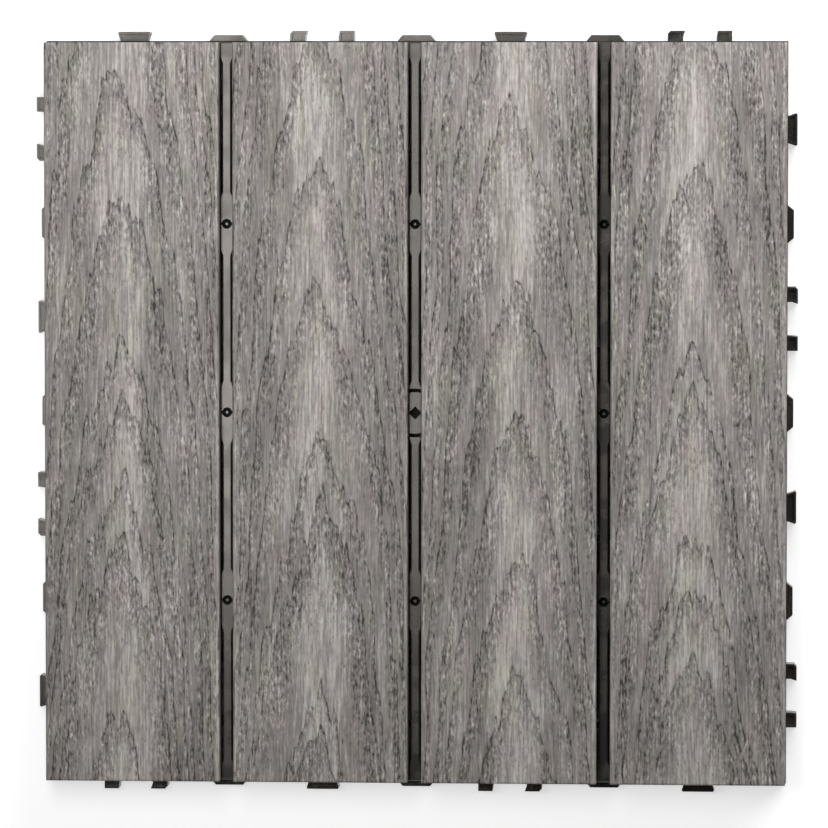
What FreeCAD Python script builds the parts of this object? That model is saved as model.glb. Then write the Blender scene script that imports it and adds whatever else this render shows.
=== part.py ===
import FreeCAD, Part
import os
import Sketcher
from FreeCAD import Vector

# Interlocking deck tile.
# Four grooved composite slats lie side by side on a moulded plastic grid and are held by screws
# driven up from below. The grid stands on low feet, so water runs away under it. Its four sides
# carry dovetail tabs and pairs of prongs, and each tab drops between two prongs of the next tile.
# Millimetres. The ground is z = 0, the slats run along Y, and the origin is under the middle.

doc = FreeCAD.newDocument("deck_tile")

SLATS = 4                # slats on a tile, and modules along each side
GAPS = SLATS - 1
GROOVES = 4              # relief grooves under a slat

sheet = doc.addObject("Spreadsheet::Sheet", "size")

SIZES = [
    ("slat_width", 69.5, "width of a slat"),
    ("gap", 5.5, "between two slats"),
    ("seam", 5.0, "between the walls of two tiles that are joined"),
    ("slat_height", 12.0, "thickness of a slat"),
    ("slat_round", 1.2, "rounding along the two long top edges"),
    ("end_setback", 0.5, "slat ends lie this far inside the wall of the grid"),
    ("groove_width", 8.0, "relief grooves along the underside of a slat"),
    ("groove_depth", 1.2, "depth of the relief grooves"),
    ("groove_spacing", 15.0, "from one relief groove to the next"),
    ("deck_level", 10.5, "height of the plane that carries the slats"),
    ("grid_lift", 2.5, "ground to the underside of wall, beams and webs"),
    ("wall", 2.0, "thickness of the outer wall"),
    ("beam", 3.6, "thickness of the main beams"),
    ("web", 1.8, "thickness of the thin webs"),
    ("foot_width", 24.0, "eight-sided feet under the crossings of the beams, over the flats"),
    ("boss_width", 12.0, "eight-sided screw bosses, over the flats"),
    ("boss_height", 4.5, "thickness of plastic between a screw head and a slat"),
    ("head_diameter", 7.6, "screw head"),
    ("head_height", 2.6, "screw head"),
    ("head_room", 0.4, "room round the screw head"),
    ("shank_diameter", 3.6, "screw shank over its thread"),
    ("shank_room", 0.25, "room round the shank in the boss"),
    ("shank_length", 12.0, "screw below its head"),
    ("drive_width", 4.2, "cross recess, tip to tip"),
    ("drive_slot", 1.1, "cross recess, width of an arm"),
    ("drive_depth", 1.5, "cross recess"),
    ("pilot_extra", 1.0, "pilot hole past the tip of the screw"),
    ("spacer_height", 5.0, "spacer ribs above the deck plane"),
    ("spacer_rib", 3.6, "width of the spacer ribs"),
    ("spacer_room", 0.1, "between a spacer block and each slat"),
    ("spacer_edge", 0.4, "bevel round the top of the spacers"),
    ("block", 25.5, "length of the spacer blocks over the feet, with their flares"),
    ("flare", 2.4, "length over which a rib widens into a block"),
    ("end_block", 6.0, "length of the spacer blocks at the slat ends"),
    ("dimple_diameter", 3.8, "round dimple in a spacer block"),
    ("dimple_depth", 2.4, "round dimple in a spacer block"),
    ("pip_width", 1.1, "six-sided moulding pip in the middle of a dimple, over its flats"),
    ("slit_width", 0.8, "slit across a spacer block"),
    ("slit_depth", 1.2, "slit across a spacer block"),
    ("ring_diameter", 18.0, "middle line of the ring groove in the middle block"),
    ("ring_width", 1.3, "width of the ring groove"),
    ("ring_depth", 2.5, "depth of the ring groove"),
    ("socket_width", 3.6, "square socket in the middle block"),
    ("socket_depth", 2.0, "square socket in the middle block"),
    ("tab_lift", 1.0, "ground to the underside of tabs and prongs"),
    ("tab_top", 9.0, "ground to the top of tabs and prongs"),
    ("tab_reach", 3.7, "dovetail tab, out from the wall"),
    ("tab_neck", 10.8, "dovetail tab, width at the wall"),
    ("tab_tip", 13.0, "dovetail tab, width at its widest"),
    ("tab_nose", 0.5, "bevel on the two outer corners of a tab"),
    ("prong_reach", 4.1, "prongs, out from the wall"),
    ("prong_bevel", 1.1, "bevel on one outer corner of each prong"),
    ("pair_width", 25.4, "over both prongs of a pair"),
    ("join_room", 0.2, "between a tab and the prongs of the next tile"),
    ("rim", 1.0, "rim round the sunk top of a tab or prong"),
    ("rim_depth", 0.8, "depth of the sunk top"),
    ("stop_root", 15.0, "spacing stops, width at the wall"),
    ("stop_tip", 11.0, "spacing stops, width at the outside"),
    ("stop_room", 0.1, "spacing stops end this far short of the middle of the seam"),
    ("stop_top", 8.0, "ground to the top of the spacing stops"),
    ("foot_depth", 4.0, "edge feet, in from the outside of the wall"),
    ("corner_foot", 9.0, "side of the square feet in the corners"),
]

for row, (alias, value, note) in enumerate(SIZES, start=1):
    sheet.set(f"A{row}", alias)
    sheet.set(f"B{row}", str(value))
    sheet.set(f"C{row}", note)
    sheet.setAlias(f"B{row}", alias)
doc.recompute()

# Sizes that follow from the ones above. A module is the pitch of the slats and of the joints.
MODULE = "(size.slat_width + size.gap)"
SIDE = f"({SLATS} * {MODULE} - size.seam)"
WALL_Y = f"(-{SIDE} / 2)"
SLAT_LENGTH = f"({SIDE} - 2 * size.end_setback)"
FIRST_SLAT = f"(-{SLATS - 1} * {MODULE} / 2)"
FIRST_GAP = f"(-{GAPS - 1} * {MODULE} / 2)"
SPACER_TOP = "(size.deck_level + size.spacer_height)"
HEAD_SEAT = "(size.deck_level - size.boss_height)"


def module_middle(number):
    """Middle line of a slat, or of the module with that number on the other axis."""
    return f"({FIRST_SLAT} + {number} * {MODULE})"


def gap_middle(number):
    """Middle line of the gap after a slat, or the line with that number on the other axis."""
    return f"({FIRST_GAP} + {number} * {MODULE})"


def cross_webs():
    """Middle lines of the webs that run across the slats: two in each module, at its thirds."""
    return [f"({module_middle(number)} + {sign} * {MODULE} / 6)"
            for number in range(SLATS) for sign in (-1, 1)]


def screw_lines():
    """Each slat has a screw over the first and over the last of these webs."""
    webs = cross_webs()
    return [webs[0], webs[-1]]


def value_of(expression):
    """The number, in millimetres, that an expression of the sheet gives now."""
    return float(sheet.evalExpression(expression))


def origin_feature(body, role):
    return next(feature for feature in body.Origin.OriginFeatures if feature.Role == role)


def new_body(name):
    body = doc.addObject("PartDesign::Body", name)
    body.Label = name
    return body


def level_sketch(body, name, level):
    """An empty sketch parallel to the ground, at the height that an expression gives."""
    sketch = body.newObject("Sketcher::SketchObject", name)
    sketch.AttachmentSupport = [(origin_feature(body, "XY_Plane"), "")]
    sketch.MapMode = "FlatFace"
    sketch.setExpression(".AttachmentOffset.Base.z", level)
    return sketch


def pin_points(sketch, pins):
    """Bind points of a sketch to expressions, measured from the sketch origin. A pin is an
    element, one of its points, and the expressions of that point's x and y."""
    bound = []
    constraints = []
    for element, point, x, y in pins:
        for direction, expression in (("DistanceX", x), ("DistanceY", y)):
            bound.append(expression)
            constraints.append(
                Sketcher.Constraint(direction, -1, 1, element, point, value_of(expression)))
    for index, expression in zip(sketch.addConstraint(constraints), bound):
        sketch.setExpression(f"Constraints[{index}]", expression)


def add_outline(sketch, corners):
    """A closed outline of straight lines, given by its corners as pairs of expressions."""
    places = [Vector(value_of(x), value_of(y), 0) for x, y in corners]
    ends = places[1:] + places[:1]
    lines = sketch.addGeometry([Part.LineSegment(a, b) for a, b in zip(places, ends)], False)
    following = list(lines[1:]) + [lines[0]]
    sketch.addConstraint(
        [Sketcher.Constraint("Coincident", a, 2, b, 1) for a, b in zip(lines, following)])
    pin_points(sketch, [(line, 1, x, y) for line, (x, y) in zip(lines, corners)])


def add_flat_sided(sketch, x, y, width, count, turn=0):
    """A regular outline round the middle point x, y, measured over its flats. Its first flat
    faces along X, unless it is turned by some degrees."""
    reach = f"{width} / 2 / cos({180 / count}deg)"
    corners = []
    for number in range(count):
        angle = f"{turn + 360 * (number + 0.5) / count}deg"
        corners.append((f"{x} + {reach} * cos({angle})", f"{y} + {reach} * sin({angle})"))
    add_outline(sketch, corners)


def add_rectangle(sketch, x, y, width, length):
    """A rectangle round the middle point x, y."""
    left = f"{x} - ({width}) / 2"
    right = f"{x} + ({width}) / 2"
    near = f"{y} - ({length}) / 2"
    far = f"{y} + ({length}) / 2"
    add_outline(sketch, [(left, near), (right, near), (right, far), (left, far)])


def add_circle(sketch, x, y, diameter):
    middle = Vector(value_of(x), value_of(y), 0)
    circle = sketch.addGeometry(Part.Circle(middle, Vector(0, 0, 1), value_of(diameter) / 2), False)
    pin_points(sketch, [(circle, 3, x, y)])
    index = sketch.addConstraint(Sketcher.Constraint("Diameter", circle, value_of(diameter)))
    sketch.setExpression(f"Constraints[{index}]", diameter)


def pad(body, name, sketch, length):
    """Raise a sketch into a solid, upwards."""
    feature = body.newObject("PartDesign::Pad", name)
    feature.Profile = (sketch, [""])
    feature.setExpression("Length", length)
    settle(body, feature)
    return feature


def settle(body, feature):
    """Make a feature the last of its body, and stop if it failed."""
    body.Tip = feature
    doc.recompute()
    if "Invalid" in feature.State or feature.Shape.isNull():
        raise RuntimeError(f"{feature.Name} failed")


def pocket(body, name, sketch, depth, upwards=False):
    """Cut a sketch into the body, downwards unless told otherwise, and check that it cut."""
    before = body.Shape.Volume
    feature = body.newObject("PartDesign::Pocket", name)
    feature.Profile = (sketch, [""])
    feature.setExpression("Length", depth)
    feature.Reversed = upwards
    settle(body, feature)
    if not body.Shape.Volume < before:
        raise RuntimeError(f"{name} cuts nothing")
    return feature


def whole_row(body, name, axis, count, spacing):
    """Repeat all that the body holds so far along one axis."""
    pattern = body.newObject("PartDesign::LinearPattern", name)
    pattern.Direction = (origin_feature(body, axis), [""])
    pattern.Mode = "Spacing"
    pattern.setExpression("Offset", spacing)
    pattern.Occurrences = count
    pattern.TransformMode = "Whole shape"
    settle(body, pattern)


def round_of(body, name, features):
    """Repeat features on the four sides."""
    pattern = body.newObject("PartDesign::PolarPattern", name)
    pattern.Originals = features
    pattern.Axis = (origin_feature(body, "Z_Axis"), [""])
    pattern.Angle = 360
    pattern.Occurrences = 4
    settle(body, pattern)


# The grid is one moulding. Its regions are shaped as bodies of their own and fused at the end.

def build_wall():
    """The outer wall of the grid, with the joints on its four sides."""
    body = new_body("grid_wall")
    sketch = level_sketch(body, "wall_plan", "size.grid_lift")
    add_rectangle(sketch, "0", "0", SIDE, SIDE)
    inner = f"{SIDE} - 2 * size.wall"
    add_rectangle(sketch, "0", "0", inner, inner)
    pad(body, "wall_pad", sketch, "size.deck_level - size.grid_lift")
    build_side_joints(body)
    return body


def add_crossing_walls(body, name, thickness, x_lines, y_lines):
    """Straight walls from side to side: along Y on the first lines, along X on the others."""
    across = f"{SIDE} - size.wall"
    height = "size.deck_level - size.grid_lift"
    along_y = level_sketch(body, f"{name}_y_plan", "size.grid_lift")
    for line in x_lines:
        add_rectangle(along_y, line, "0", thickness, across)
    pad(body, f"{name}_y", along_y, height)
    along_x = level_sketch(body, f"{name}_x_plan", "size.grid_lift")
    for line in y_lines:
        add_rectangle(along_x, "0", line, across, thickness)
    pad(body, f"{name}_x", along_x, height)


def build_beams():
    """Main beams under the gaps between the slats and on the same lines across, with a low
    foot under each crossing."""
    body = new_body("grid_beams")
    lines = [gap_middle(number) for number in range(GAPS)]
    add_crossing_walls(body, "beam", "size.beam", lines, lines)
    feet = level_sketch(body, "foot_plan", "0")
    for x in lines:
        for y in lines:
            add_flat_sided(feet, x, y, "size.foot_width", 8)
    pad(body, "feet", feet, "size.grid_lift")
    return body


def build_webs():
    """Thin webs under the slats and across them, with a boss for each screw where they cross.
    The screw head sits in a round clearing of the webs, against the underside of the boss."""
    body = new_body("grid_webs")
    lines = [module_middle(number) for number in range(SLATS)]
    add_crossing_walls(body, "web", "size.web", lines, cross_webs())
    bosses = level_sketch(body, "boss_plan", HEAD_SEAT)
    heads = level_sketch(body, "head_room_plan", "size.grid_lift")
    shanks = level_sketch(body, "shank_room_plan", HEAD_SEAT)
    for x in lines:
        for y in screw_lines():
            add_flat_sided(bosses, x, y, "size.boss_width", 8)
            add_circle(heads, x, y, "size.head_diameter + 2 * size.head_room")
            add_circle(shanks, x, y, "size.shank_diameter + 2 * size.shank_room")
    pad(body, "bosses", bosses, "size.boss_height")
    pocket(body, "head_room_cut", heads, f"{HEAD_SEAT} - size.grid_lift", upwards=True)
    pocket(body, "shank_room_cut", shanks, "size.boss_height", upwards=True)
    return body


# The spacers: a rib in each gap between two slats, with blocks that the slats lie against.

def spacer_outline(gap_x):
    """One spacer seen from above: end blocks, ribs, and a block over each foot."""
    thin = "(size.spacer_rib / 2)"
    full = "(size.gap / 2 - size.spacer_room)"
    block = "(size.block / 2)"
    end = f"({SLAT_LENGTH} / 2)"
    profile = [(full, f"-{end}"), (full, f"-{end} + size.end_block")]
    profile.append((thin, f"-{end} + size.end_block + size.flare"))
    for row in range(GAPS):
        middle = gap_middle(row)
        profile.append((thin, f"{middle} - {block}"))
        profile.append((full, f"{middle} - {block} + size.flare"))
        profile.append((full, f"{middle} + {block} - size.flare"))
        profile.append((thin, f"{middle} + {block}"))
    profile.append((thin, f"{end} - size.end_block - size.flare"))
    profile += [(full, f"{end} - size.end_block"), (full, end)]
    right = [(f"{gap_x} + {half}", y) for half, y in profile]
    left = [(f"{gap_x} - {half}", y) for half, y in reversed(profile)]
    return right + left


def build_spacers():
    """The spacer of one gap, bevelled round its top, repeated in the other gaps, then detailed."""
    body = new_body("grid_spacers")
    plan = level_sketch(body, "spacer_plan", "size.deck_level")
    add_outline(plan, spacer_outline(FIRST_GAP))
    spacer = pad(body, "spacer", plan, "size.spacer_height")
    top = value_of(SPACER_TOP)
    tops = [f"Face{number}" for number, face in enumerate(spacer.Shape.Faces, start=1)
            if face.BoundBox.ZMin > top - 0.001]
    bevel = body.newObject("PartDesign::Chamfer", "spacer_bevel")
    bevel.Base = (spacer, tops)
    bevel.setExpression("Size", "size.spacer_edge")
    settle(body, bevel)
    whole_row(body, "spacer_row", "X_Axis", GAPS, MODULE)
    build_dimples(body)
    build_middle_block(body)
    return body


def build_dimples(body):
    """A dimple with a pip, and a slit across it, in each block but the middle one."""
    dimples = level_sketch(body, "dimple_plan", SPACER_TOP)
    slits = level_sketch(body, "slit_plan", SPACER_TOP)
    slit_length = "(size.gap - size.dimple_diameter) / 2 + size.slit_width"
    for column in range(GAPS):
        for row in range(GAPS):
            if column == row == GAPS // 2:
                continue
            x = gap_middle(column)
            y = gap_middle(row)
            add_circle(dimples, x, y, "size.dimple_diameter")
            add_flat_sided(dimples, x, y, "size.pip_width", 6)
            for sign in (-1, 1):
                slit_x = f"{x} + {sign} * (size.gap + size.dimple_diameter) / 4"
                add_rectangle(slits, slit_x, y, slit_length, "size.slit_width")
    pocket(body, "dimples", dimples, "size.dimple_depth")
    pocket(body, "slits", slits, "size.slit_depth")


def build_middle_block(body):
    """The middle block has a ring groove, seen as two arcs, and a small socket."""
    ring = level_sketch(body, "ring_plan", SPACER_TOP)
    add_circle(ring, "0", "0", "size.ring_diameter + size.ring_width")
    add_circle(ring, "0", "0", "size.ring_diameter - size.ring_width")
    pocket(body, "ring_groove", ring, "size.ring_depth")
    socket = level_sketch(body, "socket_plan", SPACER_TOP)
    add_flat_sided(socket, "0", "0", "size.socket_width", 4, turn=45)
    pocket(body, "socket", socket, "size.socket_depth")


# The joints on the sides: seen from above, the south side from west to east has a pair of
# prongs, a dovetail tab, a pair and a tab, one in each module, with a stop between each two.
# Turned by quarter turns this gives the other sides, and each side fits the opposite one.

PAIR_MODULES = (0, 2)
TAB_MODULES = (1, 3)


def tab_half(distance):
    """Half the width of a dovetail tab at a distance out from its wall."""
    widest = "(size.tab_reach - size.tab_nose)"
    slope = f"((size.tab_tip - size.tab_neck) / 2 / {widest})"
    return f"(size.tab_neck / 2 + {slope} * ({distance}))"


def root_distance(inset):
    """Tabs and prongs start inside the wall, and their sunk tops a little outside it."""
    return "-size.wall / 2" if inset == "0" else f"{inset} / 2"


def tab_outline(middle, inset):
    """A dovetail tab, or its sunk top when it is drawn in by an inset."""
    root = f"{WALL_Y} - ({root_distance(inset)})"
    widest = f"{WALL_Y} - size.tab_reach + size.tab_nose + {inset} / 2"
    outer = f"{WALL_Y} - size.tab_reach + {inset}"
    neck = f"({tab_half(root_distance(inset))} - {inset})"
    tip = f"(size.tab_tip / 2 - {inset})"
    nose = f"({tip} - size.tab_nose)"
    return [
        (f"{middle} - {neck}", root), (f"{middle} - {tip}", widest), (f"{middle} - {nose}", outer),
        (f"{middle} + {nose}", outer), (f"{middle} + {tip}", widest), (f"{middle} + {neck}", root)]


def prong_outline(middle, side, inset):
    """One prong of a pair: side is -1 for the west prong and 1 for the east one."""
    # The inner face follows the flank of the tab that drops in beside it.
    mouth = f"({tab_half('size.seam - size.prong_reach')} + size.join_room + {inset})"
    throat = f"(size.tab_tip / 2 + size.join_room + {inset})"
    throat_y = f"{WALL_Y} - size.seam + size.tab_reach - size.tab_nose - {inset}"
    outer = f"(size.pair_width / 2 - {inset})"
    root = f"{WALL_Y} - ({root_distance(inset)})"
    tip = f"{WALL_Y} - size.prong_reach + {inset}"
    bevel = f"(size.prong_bevel - {inset} / 2)"

    def at(half):
        return f"{middle} + {side} * ({half})"

    points = [(at(outer), root), (at(throat), root), (at(throat), throat_y)]
    if side > 0:
        points += [(at(mouth), tip), (at(f"{outer} - {bevel}"), tip), (at(outer), f"{tip} + {bevel}")]
    else:
        points += [(at(f"{mouth} + {bevel}"), tip), (at(outer), tip)]
    return points


def stop_outline(middle):
    """A spacing stop, which runs in under the wall and stands on the ground as a foot."""
    inner = f"{WALL_Y} + size.foot_depth"
    outer = f"{WALL_Y} - size.seam / 2 + size.stop_room"
    return [
        (f"{middle} - size.stop_root / 2", inner), (f"{middle} - size.stop_root / 2", WALL_Y),
        (f"{middle} - size.stop_tip / 2", outer), (f"{middle} + size.stop_tip / 2", outer),
        (f"{middle} + size.stop_root / 2", WALL_Y), (f"{middle} + size.stop_root / 2", inner)]


def build_stops(body):
    """Three stops on a side, and a square foot at its west corner."""
    stops = level_sketch(body, "stop_plan", "0")
    for number in range(GAPS):
        add_outline(stops, stop_outline(gap_middle(number)))
    corner = f"({WALL_Y} + size.corner_foot / 2)"
    add_rectangle(stops, corner, corner, "size.corner_foot", "size.corner_foot")
    return pad(body, "stops", stops, "size.stop_top")


def build_side_joints(body):
    stops = build_stops(body)
    joints = level_sketch(body, "joint_plan", "size.tab_lift")
    sunk = level_sketch(body, "joint_top_plan", "size.tab_top")
    for number in TAB_MODULES:
        add_outline(joints, tab_outline(module_middle(number), "0"))
        add_outline(sunk, tab_outline(module_middle(number), "size.rim"))
    for number in PAIR_MODULES:
        for side in (-1, 1):
            add_outline(joints, prong_outline(module_middle(number), side, "0"))
            add_outline(sunk, prong_outline(module_middle(number), side, "size.rim"))
    joint_pad = pad(body, "tabs_and_prongs", joints, "size.tab_top - size.tab_lift")
    sunk_tops = pocket(body, "sunk_tops", sunk, "size.rim_depth")
    round_of(body, "four_sides", [stops, joint_pad, sunk_tops])


def build_base_grid():
    regions = [build_wall(), build_beams(), build_webs(), build_spacers()]
    grid = doc.addObject("Part::MultiFuse", "base_grid")
    grid.Label = "base_grid"
    grid.Shapes = regions
    grid.Refine = True
    doc.recompute()
    return grid


# A slat: one solid composite bar, rounded along its top, with relief grooves below and a blind
# pilot hole for each screw.

def build_slat(number):
    body = new_body(f"slat_{number + 1}")
    plan = level_sketch(body, f"bar_plan_{number}", "0")
    add_rectangle(plan, "0", "0", "size.slat_width", SLAT_LENGTH)
    bar = pad(body, f"bar_{number}", plan, "size.slat_height")
    long_edges = body.newObject("PartDesign::Fillet", f"long_edges_{number}")
    long_edges.Base = (bar, long_top_edges(bar))
    long_edges.setExpression("Radius", "size.slat_round")
    settle(body, long_edges)
    grooves = level_sketch(body, f"groove_plan_{number}", "0")
    past_ends = f"{SLAT_LENGTH} + size.groove_width"
    for groove in range(GROOVES):
        middle = f"({2 * groove + 1 - GROOVES} * size.groove_spacing / 2)"
        add_rectangle(grooves, middle, "0", "size.groove_width", past_ends)
    pocket(body, f"grooves_{number}", grooves, "size.groove_depth", upwards=True)
    pilots = level_sketch(body, f"pilot_plan_{number}", "0")
    for line in screw_lines():
        add_circle(pilots, "0", line, "size.shank_diameter")
    depth = "size.shank_length - size.boss_height + size.pilot_extra"
    pocket(body, f"pilots_{number}", pilots, depth, upwards=True)
    body.setExpression(".Placement.Base.x", module_middle(number))
    body.setExpression(".Placement.Base.z", "size.deck_level")
    return body


def long_top_edges(bar):
    """Names of the two top edges of a bar that run along Y."""
    top = bar.Shape.BoundBox.ZMax
    return [f"Edge{number}" for number, edge in enumerate(bar.Shape.Edges, start=1)
            if edge.BoundBox.ZMin > top - 0.001 and edge.BoundBox.YLength > edge.BoundBox.XLength]


# The screws: flat round heads with a cross recess, seated against the bosses from below, and
# plain shanks that point up. They are alike, and each is a solid of its own.

def build_screws():
    body = new_body("slat_screws")
    profile = body.newObject("Sketcher::SketchObject", "screw_profile")
    profile.AttachmentSupport = [(origin_feature(body, "XZ_Plane"), "")]
    profile.MapMode = "FlatFace"
    head = "size.head_diameter / 2"
    shank = "size.shank_diameter / 2"
    add_outline(profile, [
        ("0", "-size.head_height"), (head, "-size.head_height"), (head, "0"), (shank, "0"),
        (shank, "size.shank_length"), ("0", "size.shank_length")])
    turned = body.newObject("PartDesign::Revolution", "screw")
    turned.Profile = (profile, [""])
    turned.ReferenceAxis = (profile, ["V_Axis"])
    turned.Angle = 360
    settle(body, turned)
    recess = level_sketch(body, "drive_plan", "-size.head_height")
    add_outline(recess, plus_sign("size.drive_width / 2", "size.drive_slot / 2"))
    pocket(body, "drive", recess, "size.drive_depth", upwards=True)
    whole_row(body, "screw_row", "X_Axis", SLATS, MODULE)
    near, far = screw_lines()
    whole_row(body, "screw_rows", "Y_Axis", 2, f"{far} - {near}")
    body.setExpression(".Placement.Base.x", FIRST_SLAT)
    body.setExpression(".Placement.Base.y", near)
    body.setExpression(".Placement.Base.z", HEAD_SEAT)
    return body


def plus_sign(reach, half):
    """Outline of a cross recess with square arms."""
    quarter = [(reach, half), (half, half), (half, reach)]
    points = []
    for a, b in quarter:
        points.append((a, b))
    for a, b in quarter:
        points.append((f"-({b})", a))
    for a, b in quarter:
        points.append((f"-({a})", f"-({b})"))
    for a, b in quarter:
        points.append((b, f"-({a})"))
    return points


sub_parts = [build_base_grid()] + [build_slat(number) for number in range(SLATS)] + [build_screws()]
doc.recompute()

for item in doc.Objects:
    if "Invalid" in item.State or "Error" in item.State:
        raise RuntimeError(f"{item.Name} failed: {item.State}")
for part in sub_parts:
    if part.Shape.isNull() or not part.Shape.isValid():
        raise RuntimeError(f"{part.Label} has no valid shape")

os.makedirs("parts", exist_ok=True)
for part in sub_parts:
    part.Shape.exportStep(f"parts/{part.Label}.step")
    print(part.Label, len(part.Shape.Solids), "solids", round(part.Shape.Volume / 1000, 2), "cm3")
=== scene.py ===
# %% [markdown]
# # An interlocking deck tile
#
# Four slats of wood-plastic composite lie on a black plastic grid, and eight screws hold them from
# below. The grid has tabs and prongs on its four sides, which interlock. The solid model gives
# every piece its shape and place. This file dresses it: it replaces the plain slats by embossed
# ones and the plain screws by threaded ones, and gives the grid its moulded skin.
# Lengths are in metres, as everywhere in Blender. X runs across the slats, Y along them, Z up.

# %% Load the solid model
import math

import bmesh
import bpy
import numpy as np
from mathutils import Matrix, Vector


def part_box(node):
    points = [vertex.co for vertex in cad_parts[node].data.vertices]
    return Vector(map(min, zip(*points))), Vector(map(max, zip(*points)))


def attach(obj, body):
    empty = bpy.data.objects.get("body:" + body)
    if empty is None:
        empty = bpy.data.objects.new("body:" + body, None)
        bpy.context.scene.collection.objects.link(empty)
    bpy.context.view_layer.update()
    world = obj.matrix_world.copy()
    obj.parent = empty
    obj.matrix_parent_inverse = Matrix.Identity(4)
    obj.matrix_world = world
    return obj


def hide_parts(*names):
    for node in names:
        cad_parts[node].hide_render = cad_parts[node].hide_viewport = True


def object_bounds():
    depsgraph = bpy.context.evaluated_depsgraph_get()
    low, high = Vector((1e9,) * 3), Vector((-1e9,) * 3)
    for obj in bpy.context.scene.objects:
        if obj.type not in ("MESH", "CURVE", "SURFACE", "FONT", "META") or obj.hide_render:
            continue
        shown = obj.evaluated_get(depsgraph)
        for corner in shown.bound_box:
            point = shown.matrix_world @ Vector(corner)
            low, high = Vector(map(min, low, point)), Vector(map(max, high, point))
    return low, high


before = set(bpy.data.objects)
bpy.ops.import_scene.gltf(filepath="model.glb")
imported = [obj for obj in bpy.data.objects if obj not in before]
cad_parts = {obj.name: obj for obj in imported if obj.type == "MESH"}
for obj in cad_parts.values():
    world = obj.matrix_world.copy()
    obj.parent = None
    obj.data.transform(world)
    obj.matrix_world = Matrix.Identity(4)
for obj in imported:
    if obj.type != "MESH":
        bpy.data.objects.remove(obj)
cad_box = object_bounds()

MM = 0.001
SLATS = ("slat_1", "slat_2", "slat_3", "slat_4")
print("nodes:", ", ".join(sorted(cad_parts)))
print("size in mm:", [round((high - low) / MM, 1) for low, high in zip(*cad_box)])

# %% [markdown]
# ## Small helpers for shader nodes
#
# A material is a graph: nodes compute numbers and colours, and links carry them from socket to
# socket. It could be drawn by hand in the shader editor. Here it is written down, so these helpers
# each add one node, and feed its sockets from a number or from another socket. The materials
# further down then read like short recipes.

# %% Feed, calculate and step
def feed(tree, socket, value):
    """Join a socket to another one, or set it to a plain value."""
    if isinstance(value, bpy.types.NodeSocket):
        tree.links.new(value, socket)
    elif value is not None:
        socket.default_value = value


def calc(tree, operation, a, b=None, c=None):
    """One Math node. Returns its output."""
    node = tree.nodes.new("ShaderNodeMath")
    node.operation = operation
    for socket, value in zip(node.inputs, (a, b, c)):
        feed(tree, socket, value)
    return node.outputs[0]


def ramp(tree, value, low, high, to_low=0.0, to_high=1.0):
    """A soft step: to_low up to low, to_high from high on."""
    node = tree.nodes.new("ShaderNodeMapRange")
    node.interpolation_type = "SMOOTHSTEP"
    for name, what in (("Value", value), ("From Min", low), ("From Max", high),
                       ("To Min", to_low), ("To Max", to_high)):
        feed(tree, node.inputs[name], what)
    return node.outputs["Result"]


print("helpers:", ", ".join(helper.__name__ for helper in (feed, calc, ramp)))

# %% [markdown]
# ## Two effects that several materials share
#
# Wood fibre, sawn composite and drawn steel all show marks of a certain width and length. A noise
# texture gives streaks once the coordinates are divided by that width and length. The second group
# scatters dots in the same way, with a Voronoi texture: it has one dot in each cell and a random
# number for the cell, so a density can decide which cells get a pit, which a pale fleck and which
# nothing.
# An effect that is used more than once is a node group: built once, and placed with its own values.
# The coordinates are first turned a little about Y, because a noise cut along its own lattice
# shows that lattice as a faint weave.

# %% An empty group
def new_group(name, inputs, outputs):
    """An empty node group. Inputs and outputs are (name, kind, default) or (name, kind)."""
    group = bpy.data.node_groups.new(name, "ShaderNodeTree")
    for side, sockets in (("INPUT", inputs), ("OUTPUT", outputs)):
        for label, kind, *default in sockets:
            socket = group.interface.new_socket(label, in_out=side,
                                                socket_type="NodeSocket" + kind)
            if default:
                socket.default_value = default[0]
    given = group.nodes.new("NodeGroupInput").outputs
    made = group.nodes.new("NodeGroupOutput").inputs
    return group, given, made


print("helper:", new_group.__name__)

# %% Streaks
CELL_TURN = 0.65             # turn of the coordinates about Y, in radians
CELL_INPUTS = [("Place", "Vector"), ("Width", "Float", 0.001), ("Length", "Float", 0.02),
               ("Shift", "Float", 0.0)]


def cells(tree, given):
    """Coordinates turned about Y and counted in cells, with a shift to get another pattern."""
    turned = tree.nodes.new("ShaderNodeVectorRotate")
    turned.rotation_type = "Y_AXIS"
    turned.inputs["Angle"].default_value = CELL_TURN
    feed(tree, turned.inputs["Vector"], given["Place"])
    cell = tree.nodes.new("ShaderNodeCombineXYZ")
    for axis, side in (("X", "Width"), ("Y", "Length"), ("Z", "Width")):
        feed(tree, cell.inputs[axis], given[side])
    counted = tree.nodes.new("ShaderNodeVectorMath")
    counted.operation = "DIVIDE"
    feed(tree, counted.inputs[0], turned.outputs["Vector"])
    feed(tree, counted.inputs[1], cell.outputs["Vector"])
    moved = tree.nodes.new("ShaderNodeVectorMath")
    moved.operation = "ADD"
    feed(tree, moved.inputs[0], counted.outputs["Vector"])
    feed(tree, moved.inputs[1], given["Shift"])
    return moved.outputs["Vector"]


streaks, given, made = new_group("streaks", CELL_INPUTS, [("Value", "Float")])
waves = streaks.nodes.new("ShaderNodeTexNoise")
waves.inputs["Scale"].default_value = 1.0
waves.inputs["Detail"].default_value = 1.0
feed(streaks, waves.inputs["Vector"], cells(streaks, given))
feed(streaks, made["Value"], waves.outputs["Fac"])
print("group:", streaks.name, "with", len(streaks.nodes), "nodes")

# %% Dots
DOT_CORE = 0.25              # a dot is full up to here and gone at its rim, in cells
DOT_RIM = 0.6
PIT_ODDS = 0.6               # shares of the cells with a pit and with a fleck at full density
FLECK_ODDS = 0.35
FAINTEST = 0.4               # strength of the faintest dot

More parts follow.
